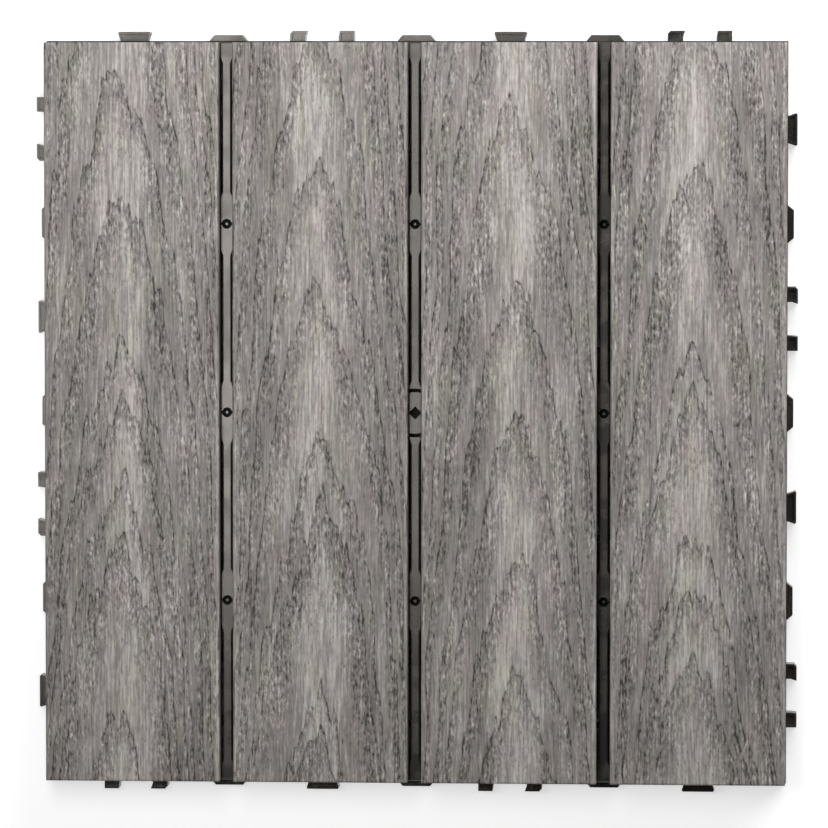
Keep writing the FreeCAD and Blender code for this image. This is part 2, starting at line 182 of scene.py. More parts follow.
dots, given, made = new_group("dots", CELL_INPUTS + [("Density", "Float", 0.5)],
                              [("Pits", "Float"), ("Flecks", "Float")])
scatter = dots.nodes.new("ShaderNodeTexVoronoi")
scatter.inputs["Scale"].default_value = 1.0
feed(dots, scatter.inputs["Vector"], cells(dots, given))
lottery = dots.nodes.new("ShaderNodeSeparateColor")
feed(dots, lottery.inputs["Color"], scatter.outputs["Color"])
dot = ramp(dots, scatter.outputs["Distance"], DOT_CORE, DOT_RIM, 1, 0)
strength = calc(dots, "MULTIPLY_ADD", lottery.outputs["Green"], 1 - FAINTEST, FAINTEST)
pit_odds = calc(dots, "MULTIPLY", given["Density"], PIT_ODDS)
fleck_odds = calc(dots, "MULTIPLY", given["Density"], FLECK_ODDS)
is_pit = calc(dots, "LESS_THAN", lottery.outputs["Red"], pit_odds)
is_fleck = calc(dots, "GREATER_THAN", lottery.outputs["Red"],
                calc(dots, "SUBTRACT", 1.0, fleck_odds))
for label, chosen in (("Pits", is_pit), ("Flecks", is_fleck)):
    feed(dots, made[label], calc(dots, "MULTIPLY", calc(dots, "MULTIPLY", chosen, dot), strength))
print("group:", dots.name, "with", len(dots.nodes), "nodes")

# %% Place streaks and dots in a material
def grouped(tree, group, **inputs):
    """Put a node group in a tree and feed its inputs by name. Returns its outputs."""
    node = tree.nodes.new("ShaderNodeGroup")
    node.node_tree = group
    for name, value in inputs.items():
        feed(tree, node.inputs[name], value)
    return node.outputs


def streak(tree, where, width, length, shift):
    """Streaks between 0 and 1, from their width and length in millimetres."""
    return grouped(tree, streaks, Place=where, Width=width * MM, Length=length * MM,
                   Shift=shift)["Value"]


def sprinkle(tree, where, density, width, length, shift):
    """Pits and flecks between 0 and 1, from the width and length of a cell in millimetres."""
    return grouped(tree, dots, Place=where, Density=density, Width=width * MM,
                   Length=length * MM, Shift=shift)


print("helpers:", ", ".join(helper.__name__ for helper in (grouped, streak, sprinkle)))

# %% [markdown]
# ## The grain of a slat
#
# A roller presses the picture of a flat-sawn board into each slat. On such a board the year rings
# come out as arches, one below the other, with long legs that run down to the sides. The pattern
# could be painted, but it has to be relief as well as colour. So the grain is worked out as a
# height: how far a ring has come down from its apex at a given distance from the heart line.
# Points with the same height lie on the same ring. Each slat has its own heart line and its own
# apexes.
# Soft random waves move the rings up and down from fibre to fibre, which gives the torn edges.

# %% Random waves
def ease(t):
    """From 0 to 1 without a kink at either end."""
    return t * t * (3 - 2 * t)


def soft_step(low, high, value):
    """0 up to low, 1 from high on."""
    return ease(np.clip((value - low) / (high - low), 0, 1))


def waves_of(x, y, cell_x, cell_y, rng):
    """Soft random waves between -1 and 1, in cells of that size."""
    i = (x - x.min()) / cell_x
    j = (y - y.min()) / cell_y
    table = rng.uniform(-1, 1, (int(i.max()) + 2, int(j.max()) + 2))
    left = i.astype(int)
    low = j.astype(int)
    a = ease(i - left)
    b = ease(j - low)
    near = table[left, low] * (1 - a) + table[left + 1, low] * a
    far = table[left, low + 1] * (1 - a) + table[left + 1, low + 1] * a
    return near * (1 - b) + far * b


def layered(x, y, layers, rng):
    """Waves of several sizes on top of each other. A layer is (strength, cell_x, cell_y)."""
    total = 0
    for strength, cell_x, cell_y in layers:
        total = total + strength * waves_of(x, y, cell_x, cell_y, rng)
    return total


print("a quarter of the way up a soft step:", float(soft_step(0, 1, 0.25)))

# %% Rings
# Heart line across the slat, and the apexes along it, in millimetres from the middle of the slat.
HEARTS = {
    "slat_1": (-4.0, (87, 30, 7, -28, -52)),
    "slat_2": (0.0, (100, 51, -10, -35, -113, -128)),
    "slat_3": (1.5, (51, 0, -57, -105)),
    "slat_4": (-2.5, (26, 9, -48, -71, -99)),
}
HIGHEST_APEX = 380           # rings above the slat still send their legs down its sides
LOWEST_APEX = -190
ROOM_ABOVE = (40, 80)        # room between two rings past the far end, and past the near end
ROOM_BELOW = (35, 70)
TIP = 2                      # how blunt an apex is
CONE = 2.3                   # drop for each millimetre away from the heart line
LEGS = 0.0035                # and the drop that makes the legs steep, with the distance cubed


def ring_drop(away):
    """How far a ring has come down from its apex, at a distance away from the heart line."""
    return CONE * (np.sqrt(away ** 2 + TIP ** 2) - TIP) + LEGS * away ** 3


def all_apexes(apexes, rng):
    """The apexes on the slat, and those past its ends, from low to high."""
    lines = list(apexes)
    while lines[0] < HIGHEST_APEX:
        lines.insert(0, lines[0] + rng.uniform(*ROOM_ABOVE))
    while lines[-1] > LOWEST_APEX:
        lines.append(lines[-1] - rng.uniform(*ROOM_BELOW))
    return np.array(lines[::-1])


print("drop of a ring in mm, 10, 20 and 30 mm away:",
      [round(float(ring_drop(away))) for away in (10, 20, 30)])

# %% How the rings are bent and torn
# Waves as (strength, cell_x, cell_y) in millimetres. Those of the heart line only run along it.
SWAY = ((2.2, 50, 90), (0.8, 50, 25))
TORN = ((4, 1.3, 24), (4.5, 3.2, 40), (1.2, 0.8, 5))
BENT = ((9, 13, 60),)
BENT_FROM = 2                # the apexes stay straight, the legs are bent
BENT_FULLY = 14
TORN_WIDER = 0.03            # more for each millimetre away from the heart line
LINE_FINER = 0.012           # ring lines get finer down their legs


def ring_height(x, y, heart, rng):
    """Distance from the heart line, and the height that sorts the points into rings."""
    away = np.abs(x - heart - layered(0 * x, y, SWAY, rng))
    torn = layered(x, y, TORN, rng) * (1 + TORN_WIDER * away)
    bent = layered(x, y, BENT, rng) * soft_step(BENT_FROM, BENT_FULLY, away)
    return away, y + ring_drop(away) + torn + bent


def ring_part(height, steep, away, lines):
    """How far down its ring a point lies, 0 to 1, and how far it is from the nearest ring line."""
    upper = np.clip(np.searchsorted(lines, height), 1, len(lines) - 1)
    below = lines[upper] - height
    room = lines[upper] - lines[upper - 1]
    ring = np.where(below < room / 2, below, below - room) / steep * (1 + LINE_FINER * away)
    return below / room, ring


print("a ring is torn by up to", sum(strength for strength, *cell in TORN), "mm")

# %% Masks of the grain
PATCHES = (5, 40)            # cells of the patches in which the pores are denser, in millimetres
PATCH_EDGE = (-0.5, 0.6)     # waves between these values are the edge of a patch
BELT_WAVES = (2, 12)         # cells of the waves on the end of a belt
BELT_UNEVEN = 0.15           # how far they move it, in parts of a ring
BELT_END = (0.2, 0.8)        # the belt of pores thins out between these parts of a ring
BELT_LEAST = 0.6             # density of a belt outside the patches
STRAY_PORES = 0.15           # density of the pores in a patch, outside the belts
TONGUE_HALF = 11             # half the width of a tongue, in millimetres
TONGUE_WAVES = ((4, 50, 30),)
TONGUE_STARTS = (0.05, 0.45)  # a tongue gets pale between these parts of a ring
TONGUE_LEAST = 0.25          # how pale it is before
TONGUE_CLOSED = 0.6          # share of the pores that are missing in a tongue
# The rounded edges are rubbed smooth, and the same strip is painted paler as a highlight.
RUBBED_AND_LIT_EDGE = (0.7, 1.7)     # the rubbed strip fades out between these distances from the side
RUBBED_CLOSED = 0.8          # share of the pores that are missing there


def grain(xs, ys, heart, apexes, rng):
    """Masks of the grain, in rows along ys and columns along xs, both in millimetres. They run
    from 0 to 1, but ring is the distance to the nearest ring line."""
    x, y = np.meshgrid(xs, ys)
    away, height = ring_height(x, y, heart, rng)
    steep = np.hypot(*np.gradient(height, ys, xs))
    part, ring = ring_part(height, steep, away, all_apexes(apexes, rng))
    # Each ring starts with a belt of open pores and ends in dense pale wood. Along the heart line
    # the pale wood is a tongue.
    patch = soft_step(*PATCH_EDGE, waves_of(x, y, *PATCHES, rng))
    belt = 1 - soft_step(*BELT_END, part + BELT_UNEVEN * waves_of(x, y, *BELT_WAVES, rng))
    width = TONGUE_HALF + layered(0 * x, y, TONGUE_WAVES, rng)
    pale = TONGUE_LEAST + (1 - TONGUE_LEAST) * soft_step(*TONGUE_STARTS, part)
    tongue = np.exp(-(away / width) ** 4) * pale
    open_pores = belt * (BELT_LEAST + (1 - BELT_LEAST) * patch) + STRAY_PORES * patch
    open_pores = np.clip(open_pores, 0, 1) * (1 - TONGUE_CLOSED * tongue)
    # The roller doesn't reach the rounded edges, which are rubbed smooth. The shell paints this
    # strip
    # paler too: a painted highlight along the rounded edges.
    rubbed_and_lit = 1 - soft_step(*RUBBED_AND_LIT_EDGE, xs.max() - np.abs(x))
    open_pores = open_pores * (1 - RUBBED_CLOSED * rubbed_and_lit)
    return {"tongue": tongue, "open_pores": open_pores, "ring": ring, "rubbed_and_lit": rubbed_and_lit}


trial = grain(np.linspace(-34, 34, 69), np.linspace(-100, 100, 101), *HEARTS["slat_2"],
              np.random.default_rng(1))
print("share of open pores on a trial piece:", round(float(trial["open_pores"].mean()), 2))

# %% [markdown]
# ## A slat
#
# Composite is extruded, so a slat is one cross-section drawn out to its length: a flat top with
# two rounded edges, straight sides, and relief grooves below that keep it from cupping. A box with
# a displacement modifier could stand for it, but would have as many faces below as on top. So the
# mesh is made as the real slat is, row by row from one cross-section, fine only where the grain is
# pressed in. The grain is stored on the vertices too, so that the colour follows the relief.

# %% Cross-section
FINE_X = 0.5 * MM            # mesh step across the top
EDGE_ROUND = 1.2 * MM
EDGE_POINTS = 6
GROOVE_WIDTH = 8 * MM
GROOVE_DEPTH = 1.2 * MM
GROOVE_SPACING = 15 * MM
GROOVES = 4


def underside(half):
    """Corners below, from left to right, with the relief grooves."""
    corners = [(-half, 0)]
    for number in range(GROOVES):
        middle = (number - (GROOVES - 1) / 2) * GROOVE_SPACING
        near = middle - GROOVE_WIDTH / 2
        far = middle + GROOVE_WIDTH / 2
        corners += [(near, 0), (near, GROOVE_DEPTH), (far, GROOVE_DEPTH), (far, 0)]
    return corners + [(half, 0)]


def section(width, height):
    """Corners of the cross-section, anticlockwise from the lower left, and the number of corners
    before the rounded edges and the top, which come last."""
    below = underside(width / 2)
    flat = width / 2 - EDGE_ROUND
    right = [(flat + EDGE_ROUND * math.cos(a), height - EDGE_ROUND * (1 - math.sin(a)))
             for a in np.linspace(0, math.pi / 2, EDGE_POINTS)]
    count = round(2 * flat / FINE_X)
    top = [(x, height) for x in np.linspace(flat, -flat, count + 1)[1:-1]]
    left = [(-x, z) for x, z in reversed(right)]
    return np.array(below + right + top + left), len(below)


low, high = (Vector(corner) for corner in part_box(SLATS[0]))
corners, first = section(high.x - low.x, high.z - low.z)
print("corners of the section:", len(corners), "of which below:", first)

# %% Rows of points
FINE_Y = 0.75 * MM           # mesh step along the slat
FULL_DEPTH_AT = 0.6          # share of the rounded edge's height from which the relief is full
# The rest is in millimetres.
LINE_WIDTH = 0.5             # of a ring line
LINE_DEPTH = 0.12
PORE_DEPTH = 0.16
PORE_FLOOR = (0.9, 2.6)      # cells of the waves on the floor of the pores
FIBRE_DEPTH = 0.04
FIBRES_PRESSED = (1.1, 18)   # cells of the fibres


def press_depth(masks, xs, ys, rng):
    """How deep the roller has pressed the top in, in metres."""
    x, y = np.meshgrid(xs, ys)
    rough = 0.5 + 0.5 * waves_of(x, y, *PORE_FLOOR, rng)
    fibre = 0.5 + 0.5 * waves_of(x, y, *FIBRES_PRESSED, rng)
    line = np.exp(-(masks["ring"] / LINE_WIDTH) ** 2)
    pores = masks["open_pores"] * rough
    return (LINE_DEPTH * line + PORE_DEPTH * pores + FIBRE_DEPTH * fibre) * MM


def slat_rows(node, rng):
    """Points of the pressed slat, in rows along Y, the masks of its top in the same rows, and the
    number of points of a row that lie below."""
    low, high = (Vector(corner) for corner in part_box(node))
    corners, first = section(high.x - low.x, high.z - low.z)
    along = np.linspace(low.y, high.y, round((high.y - low.y) / FINE_Y) + 1)
    x, y = np.meshgrid(corners[:, 0], along)
    z = np.broadcast_to(corners[:, 1], x.shape).copy()
    # The top is numbered from right to left, the grain from left to right.
    xs = corners[:first - 1:-1, 0] / MM
    masks = grain(xs, along / MM, *HEARTS[node], rng)
    depth = press_depth(masks, xs, along / MM, rng)[:, ::-1]
    rise = (corners[first:, 1] - (high.z - low.z) + EDGE_ROUND) / EDGE_ROUND
    z[:, first:] -= depth * soft_step(0, FULL_DEPTH_AT, rise)
    points = np.stack([x + (low.x + high.x) / 2, y, z + low.z], axis=-1)
    return points, {name: mask[:, ::-1] for name, mask in masks.items()}, first


print("rows along a slat:", round((high.y - low.y) / FINE_Y) + 1)

# %% Build the four slats
SHELL, CORE = 0, 1           # material slots of a slat
PLAIN = {"tongue": 0, "open_pores": 0.2, "ring": 3, "rubbed_and_lit": 0}    # below the rounded edges


def slat_faces(rows, across):
    """Faces round the section between each row and the next, then the two ends."""
    here = np.arange((rows - 1) * across).reshape(rows - 1, across)
    beside = np.roll(here, -1, axis=1)
    sides = np.stack([here, beside, beside + across, here + across], axis=-1).reshape(-1, 4)
    ends = [list(range(across))[::-1], list(range((rows - 1) * across, rows * across))]
    return sides.tolist() + ends, len(sides)


def build_slat(node, seed):
    """The embossed board that stands for a slat of the solid model."""
    points, masks, first = slat_rows(node, np.random.default_rng(seed))
    rows, across = points.shape[:2]
    faces, sides = slat_faces(rows, across)
    mesh = bpy.data.meshes.new(node + "_board")
    mesh.from_pydata(points.reshape(-1, 3).tolist(), [], faces)
    # Smooth shading for the top and its rounded edges. A row's last face closes the left side.
    smooth = np.zeros(len(faces), bool)
    smooth[:sides] = np.tile(np.arange(across) >= first, rows - 1)
    smooth[across - 1:sides:across] = False
    mesh.polygons.foreach_set("use_smooth", smooth)
    slots = np.full(len(faces), SHELL, np.int32)
    slots[sides:] = CORE
    mesh.polygons.foreach_set("material_index", slots)
    for name, plain in PLAIN.items():
        values = np.full((rows, across), plain, np.float32)
        values[:, first:] = masks[name]
        kept = mesh.attributes.new(name, "FLOAT", "POINT")
        kept.data.foreach_set("value", values.ravel())
    mesh.update()
    board = bpy.data.objects.new(node + "_board", mesh)
    bpy.context.scene.collection.objects.link(board)
    return board


boards = {}
for seed, node in enumerate(SLATS, start=11):
    boards[node] = build_slat(node, seed)
    print(boards[node].name, len(boards[node].data.polygons), "faces")

# %% [markdown]
# ## The finish of the slats
#
# The shell of the composite is dyed in the mass with streaks of two greys, so nothing on it is one
# colour: a pale tongue in each arch, thin dark ring lines, pores that hold dirt, and flecks of
# wood flour. Each could be a colour of its own, mixed over the last. Instead, each adds to or takes
# from one tone, and a colour ramp turns the tone into greys at the end, because then all the
# colours can be set in one place. Slow patches drift towards a pinkish and a greenish grey.

# %% Streaks of the shell
# Width and length in millimetres, shift, and how strongly the streaks swing the tone.
DRIFT = (13, 60, 5.0, 0.42)
BANDS = (3.0, 45, 9.0, 0.25)
FIBRES = (0.95, 22, 3.0, 0.38)
HAIRS = (0.7, 10, 17.0, 0.58)
SPECKS = (0.85, 2.6, 13.0, (0.32, 1.1))     # from dense wood to open pores
DENSE_TO_OPEN = (0.1, 0.9)   # densities of pores between which the specks get stronger


def swing(tree, tone, value, strength):
    """Move a tone up where a value is over a half, and down where it is under."""
    return calc(tree, "MULTIPLY_ADD", calc(tree, "SUBTRACT", value, 0.5), strength, tone)


def shell_streaks(tree, where, tone, density):
    """The tone with all its streaks, and the fibres alone."""
    for width, length, shift, strength in (DRIFT, BANDS, HAIRS):
        tone = swing(tree, tone, streak(tree, where, width, length, shift), strength)
    fibres = streak(tree, where, *FIBRES[:3])
    tone = swing(tree, tone, fibres, FIBRES[3])
    specks = streak(tree, where, *SPECKS[:3])
    strength = ramp(tree, density, *DENSE_TO_OPEN, *SPECKS[3])
    return swing(tree, tone, specks, strength), fibres


print("narrowest streaks of the shell:", min(FIBRES[0], HAIRS[0], SPECKS[0]), "mm")

# %% Rings, pores and flecks of the shell
TONE = 0.446                 # of plain wood, where 0 is the darkest grey and 1 the palest
TONGUE_PALER = 0.155
# A painted highlight: the rubbed strip along the rounded edges is made this much paler.
EDGE_HIGHLIGHT_PALER = 0.08
PORES_DARKER = -0.06
LINE_DARKER = -0.22
PITS_DARKER = -0.16
FLECKS_PALER = 0.11
RING_PORES = 0.35            # more open pores along a ring line
NEAR_RING = (0.3, 1.0)       # they thin out between these distances from it, in millimetres
ON_LINE = (0.15, 0.55)       # and the line itself between these
GAPS = (2.5, 7, 4.0)         # streaks that break the ring lines
WHOLE = (0.28, 0.48)         # a line is broken under the first value and whole over the second
COARSE_DOTS = (1.0, 2.6, 0.0)
SMALL_DOTS = (0.8, 1.5, 7.0)


def stored(tree, name):
    """A value that the mesh keeps on its vertices."""
    node = tree.nodes.new("ShaderNodeAttribute")
    node.attribute_name = name
    return node.outputs["Fac"]


def ring_marks(tree, where):
    """The density of pores, and the ring lines, which are broken here and there."""
    to_ring = calc(tree, "ABSOLUTE", stored(tree, "ring"))
    near_ring = ramp(tree, to_ring, *NEAR_RING, 1, 0)
    density = calc(tree, "MULTIPLY_ADD", near_ring, RING_PORES, stored(tree, "open_pores"))
    whole = ramp(tree, streak(tree, where, *GAPS), *WHOLE)
    return density, calc(tree, "MULTIPLY", ramp(tree, to_ring, *ON_LINE, 1, 0), whole)


def shell_dots(tree, where, density):
    """Pits and flecks of two sizes."""
    coarse = sprinkle(tree, where, density, *COARSE_DOTS)
    small = sprinkle(tree, where, density, *SMALL_DOTS)
    return (calc(tree, "MAXIMUM", coarse["Pits"], small["Pits"]),
            calc(tree, "MAXIMUM", coarse["Flecks"], small["Flecks"]))


print("tone in a tongue", TONE + TONGUE_PALER, "and on a ring line", TONE + LINE_DARKER)

# %% Colours
def linear(red, green, blue):
    """A colour as a screen shows it, 0 to 255, turned into the linear light that shaders use."""
    values = [c / 255 for c in (red, green, blue)]
    return [v / 12.92 if v <= 0.04045 else ((v + 0.055) / 1.055) ** 2.4 for v in values] + [1.0]


def mix_colour(tree, share, a, b, mode="MIX"):
    """Colour b laid over colour a by a share from 0 to 1."""
    node = tree.nodes.new("ShaderNodeMix")
    node.data_type = "RGBA"
    node.blend_type = mode
    feed(tree, node.inputs["Factor"], share)
    feed(tree, node.inputs["A"], a)
    feed(tree, node.inputs["B"], b)
    return node.outputs["Result"]


print("a grey of 128 on the screen is", round(linear(128, 128, 128)[0], 3), "in linear light")

# %% Greys of the shell
DARK_GREY = linear(50, 47, 45)
MID_GREY = linear(133, 128, 125)
PALE_GREY = linear(204, 199, 194)
ROSY = (1.03, 0.94, 0.97, 1)
MOSSY = (0.97, 1.0, 0.9, 1)
ROSY_PATCHES = (6, 22, 31.0)
MOSSY_PATCHES = (7, 30, 43.0)
# A patch fades in between the first two values. The last two are its share of the colour.
ROSY_SHARE = (0.45, 0.65, 0, 0.45)
MOSSY_SHARE = (0.48, 0.66, 0, 0.6)


def shell_colour(tree, where, tone):
    """The tone as a grey, with a drift towards pink and towards green."""
    greys = tree.nodes.new("ShaderNodeValToRGB")
    stops = greys.color_ramp.elements
    stops[0].color = DARK_GREY
    stops[1].color = PALE_GREY
    stops.new(0.5).color = MID_GREY
    feed(tree, greys.inputs["Fac"], tone)
    rosy = ramp(tree, streak(tree, where, *ROSY_PATCHES), *ROSY_SHARE)
    mossy = ramp(tree, streak(tree, where, *MOSSY_PATCHES), *MOSSY_SHARE)
    colour = mix_colour(tree, rosy, greys.outputs["Color"], ROSY, "MULTIPLY")
    return mix_colour(tree, mossy, colour, MOSSY, "MULTIPLY")


print("light sent back by the darkest, middle and palest grey:",
      [round(grey[1], 3) for grey in (DARK_GREY, MID_GREY, PALE_GREY)])

# %% A new material
NOISE_SPAN = (0.3, 0.7)      # nearly all values of a noise lie between these
NOISE_MIDDLE = (0.35, 0.65)  # and most of them between these


def new_material(name):
    """A material, its node tree and its Principled shader."""
    material = bpy.data.materials.new(name)
    material.use_nodes = True
    return material, material.node_tree, material.node_tree.nodes["Principled BSDF"]


def place(tree):
    """Object coordinates: the same numbers as in the model, in metres."""
    return tree.nodes.new("ShaderNodeTexCoord").outputs["Object"]


def add_bump(tree, shader, height, distance, strength):
    """Let a height between 0 and 1 tilt the surface, as if it rose by that distance."""
    bump = tree.nodes.new("ShaderNodeBump")
    bump.inputs["Distance"].default_value = distance
    bump.inputs["Strength"].default_value = strength
    feed(tree, bump.inputs["Height"], height)
    feed(tree, shader.inputs["Normal"], bump.outputs["Normal"])


print("helpers:", ", ".join(helper.__name__ for helper in (new_material, place, add_bump)))

# %% Composite shell
SHELL_ROUGHNESS = (0.6, 0.76)
SHELL_GLOSS = 0.3
FLECKS_RISE = 0.3            # height of a fleck, over that of a fibre
SHELL_RELIEF = 0.15 * MM
SHELL_RELIEF_STRENGTH = 0.8


def shell_material():
    material, tree, shader = new_material("composite_shell")
    where = place(tree)
    density, line = ring_marks(tree, where)
    pits, flecks = shell_dots(tree, where, density)
    # The rubbed strip along the rounded edges is painted paler: a painted highlight.
    tone = TONE
    for mask, shift in ((stored(tree, "tongue"), TONGUE_PALER),
                        (stored(tree, "rubbed_and_lit"), EDGE_HIGHLIGHT_PALER),
                        (density, PORES_DARKER), (line, LINE_DARKER),
                        (pits, PITS_DARKER), (flecks, FLECKS_PALER)):
        tone = calc(tree, "MULTIPLY_ADD", mask, shift, tone)
    tone, fibres = shell_streaks(tree, where, tone, density)
    feed(tree, shader.inputs["Base Color"], shell_colour(tree, where, tone))
    feed(tree, shader.inputs["Roughness"], ramp(tree, fibres, *NOISE_SPAN, *SHELL_ROUGHNESS))
    shader.inputs["Specular IOR Level"].default_value = SHELL_GLOSS
    raised = calc(tree, "MULTIPLY_ADD", flecks, FLECKS_RISE, fibres)
    add_bump(tree, shader, calc(tree, "SUBTRACT", raised, pits), SHELL_RELIEF,
             SHELL_RELIEF_STRENGTH)
    return material


shell = shell_material()
print("material:", shell.name, "with", len(shell.node_tree.nodes), "nodes")

# %% [markdown]
# ## The sawn ends
#
# The saw cuts through the shell, so the ends show the core of the composite: plain, browner and
# rougher, with grains of wood flour torn out or left standing. A single brown would look like
# paint. Noise mixes two browns, the dots add pale and dark grains, and the same pattern feeds the
# bump, so that dark grains are also hollows.

# %% Composite core
DARK_FLOUR = linear(88, 81, 75)
PALE_FLOUR = linear(128, 120, 112)
PALE_GRAINS = linear(154, 144, 133)
TORN_GRAINS = linear(66, 61, 56)
FLOUR_NOISE = (1800, 3)      # scale and detail
SAW_MARKS = (0.4, 0.4, 1.0)
GRIT = (0.9, 0.7, 0.7, 3.0)  # density, width, length and shift
CORE_ROUGHNESS = 0.85
CORE_RELIEF = 0.1 * MM
CORE_RELIEF_STRENGTH = 0.6


def noise(tree, where, scale, detail):
    """Plain noise, the same in all directions."""
    node = tree.nodes.new("ShaderNodeTexNoise")
    node.inputs["Scale"].default_value = scale
    node.inputs["Detail"].default_value = detail
    feed(tree, node.inputs["Vector"], where)
    return node.outputs["Fac"]


def core_material():
    material, tree, shader = new_material("composite_core")
    where = place(tree)
    flour = ramp(tree, noise(tree, where, *FLOUR_NOISE), *NOISE_MIDDLE)
    saw = streak(tree, where, *SAW_MARKS)
    grit = sprinkle(tree, where, *GRIT)
    colour = mix_colour(tree, flour, DARK_FLOUR, PALE_FLOUR)
    colour = mix_colour(tree, grit["Flecks"], colour, PALE_GRAINS)
    colour = mix_colour(tree, grit["Pits"], colour, TORN_GRAINS)
    feed(tree, shader.inputs["Base Color"], colour)
    shader.inputs["Roughness"].default_value = CORE_ROUGHNESS
    add_bump(tree, shader, calc(tree, "SUBTRACT", saw, grit["Pits"]), CORE_RELIEF,
             CORE_RELIEF_STRENGTH)
    return material


core = core_material()
for node, board in boards.items():
    board.data.materials.append(shell)
    board.data.materials.append(core)
    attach(board, "root")
    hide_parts(node)
print("slats dressed:", len(boards), "with", shell.name, "and", core.name)

# %% [markdown]
# ## The grid
#
# The grid is one injection moulding in black polypropylene. Its solid keeps its shape here. Only
# its sharp edges are broken by a small bevel, as in any mould, because an edge without one catches
# no light.
# The skin has a fine spark-eroded texture, and dust dulls it in patches. Where feet and fingers
# reach it, on the tops of the spacers between the slats and on the connectors outside, it is rubbed
# to a sheen. Down in the recesses it stays dull, and its colour is painted darker there as shade.
# One mask tells the two apart: the height and the reach of a point are enough to say which it is.

# %% Masks of the grid
SPACER_TOP = 15.5 * MM       # tops of the spacers that stand between the slats
# Between these depths the sheen fades in and the painted shade of the recesses fades out.
RUBBED_AND_LIT_DEPTH = (0.5 * MM, 0.2 * MM)     # the sheen fades in between these depths below the top
SLAT_REACH = 147.4 * MM      # the connectors lie farther out than this


def apart(tree, vector):
    """The X, Y and Z of a vector, each on an output of its own."""
    node = tree.nodes.new("ShaderNodeSeparateXYZ")
    feed(tree, node.inputs[0], vector)
    return node.outputs


def reach_of(tree, spot):
    """How far out of the middle a point lies, along X or Y, whichever is more."""
    return calc(tree, "MAXIMUM", calc(tree, "ABSOLUTE", spot["X"]),
                calc(tree, "ABSOLUTE", spot["Y"]))


def rubbed_and_lit_places(tree, where):
    """1 on the spacer tops and on the connectors, 0 in the recesses, which are painted as shade."""
    spot = apart(tree, where)
    on_top = ramp(tree, spot["Z"], *[SPACER_TOP - depth for depth in RUBBED_AND_LIT_DEPTH])
    outside = calc(tree, "GREATER_THAN", reach_of(tree, spot), SLAT_REACH)
    return calc(tree, "MAXIMUM", on_top, outside)


print("rubbed from", round(SPACER_TOP / MM, 1), "mm up, and from", round(SLAT_REACH / MM, 1),
      "mm out of the middle")

# %% Moulded plastic
CLEAN_SKIN = linear(42, 41, 40)
DUSTY_SKIN = linear(55, 53, 50)
SKIN_HOLLOWS = linear(26, 26, 26)
# Painted shade: the recesses get this dark colour in place of the skin's own.
PAINTED_RECESS_SHADE = linear(14, 14, 14)
SHEEN_ROUGHNESS = 0.19
DUST_ROUGHNESS = 0.12        # more of it under dust
SKIN_ROUGHNESS = 0.06        # and on the humps of the skin
RECESS_ROUGHNESS = 0.75      # and in the recesses
WARM_SHEEN = (1.0, 0.93, 0.86, 1)
SKIN_NOISE = (2600, 2)       # scale and detail
HOLLOWS_SHARE = 0.25         # of their own colour in the deepest hollows of the skin
DUST_NOISE = (90, 5)
DUST_EDGE = (0.42, 0.66)     # noise between these values is the edge of a dusty patch
SKIN_RELIEF = 0.04 * MM
SKIN_RELIEF_STRENGTH = 0.7


def grid_material():
    material, tree, shader = new_material("moulded_black")
    where = place(tree)
    skin = noise(tree, where, *SKIN_NOISE)
    dusty = ramp(tree, noise(tree, where, *DUST_NOISE), *DUST_EDGE)
    rubbed_and_lit = rubbed_and_lit_places(tree, where)
    skin_colour = mix_colour(tree, dusty, CLEAN_SKIN, DUSTY_SKIN)
    hollows = ramp(tree, skin, *NOISE_MIDDLE, HOLLOWS_SHARE, 0)
    skin_colour = mix_colour(tree, hollows, skin_colour, SKIN_HOLLOWS)
    # The recesses are painted in the dark colour as shade; the rubbed tops keep the skin's colour.
    feed(tree, shader.inputs["Base Color"], mix_colour(tree, rubbed_and_lit, PAINTED_RECESS_SHADE, skin_colour))
    worn = calc(tree, "MULTIPLY_ADD", dusty, DUST_ROUGHNESS, SHEEN_ROUGHNESS)
    worn = calc(tree, "ADD", worn, ramp(tree, skin, *NOISE_MIDDLE, 0, SKIN_ROUGHNESS))
    dull = calc(tree, "MULTIPLY", calc(tree, "SUBTRACT", 1.0, rubbed_and_lit), RECESS_ROUGHNESS)
    feed(tree, shader.inputs["Roughness"], calc(tree, "ADD", worn, dull))
    shader.inputs["Specular Tint"].default_value = WARM_SHEEN
    add_bump(tree, shader, skin, SKIN_RELIEF, SKIN_RELIEF_STRENGTH)
    return material


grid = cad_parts["base_grid"]
grid.data.materials.clear()
grid.data.materials.append(grid_material())
print("material of the grid:", grid.data.materials[0].name)

# %% Broken edges
SAME_POINT = 0.01 * MM       # points this near to each other are joined first
EDGE_BEVEL = 0.25 * MM
BEVEL_SEGMENTS = 2
SHARP_FROM = 40              # degrees between two faces

weld = grid.modifiers.new("weld", "WELD")
weld.merge_threshold = SAME_POINT
bevel = grid.modifiers.new("broken_edges", "BEVEL")
bevel.width = EDGE_BEVEL
bevel.segments = BEVEL_SEGMENTS
bevel.limit_method = "ANGLE"
bevel.angle_limit = math.radians(SHARP_FROM)
bevel.harden_normals = False
print("grid faces before the bevel:", len(grid.data.polygons))

# %% [markdown]
# ## The screws
#
# Eight screws go up through the grid into the slats. A thread could be wound with a Screw modifier,
# but its ends are hard to close. Here the shank is a round bar whose radius changes with the angle
# and the height: it grows to a crest once in every turn, which is a thread, and shrinks to nothing
# at the point. The head is turned in the same way, and a cross recess is punched in it with a
# boolean.

# %% A round body
AROUND = 32                  # corners round the screw


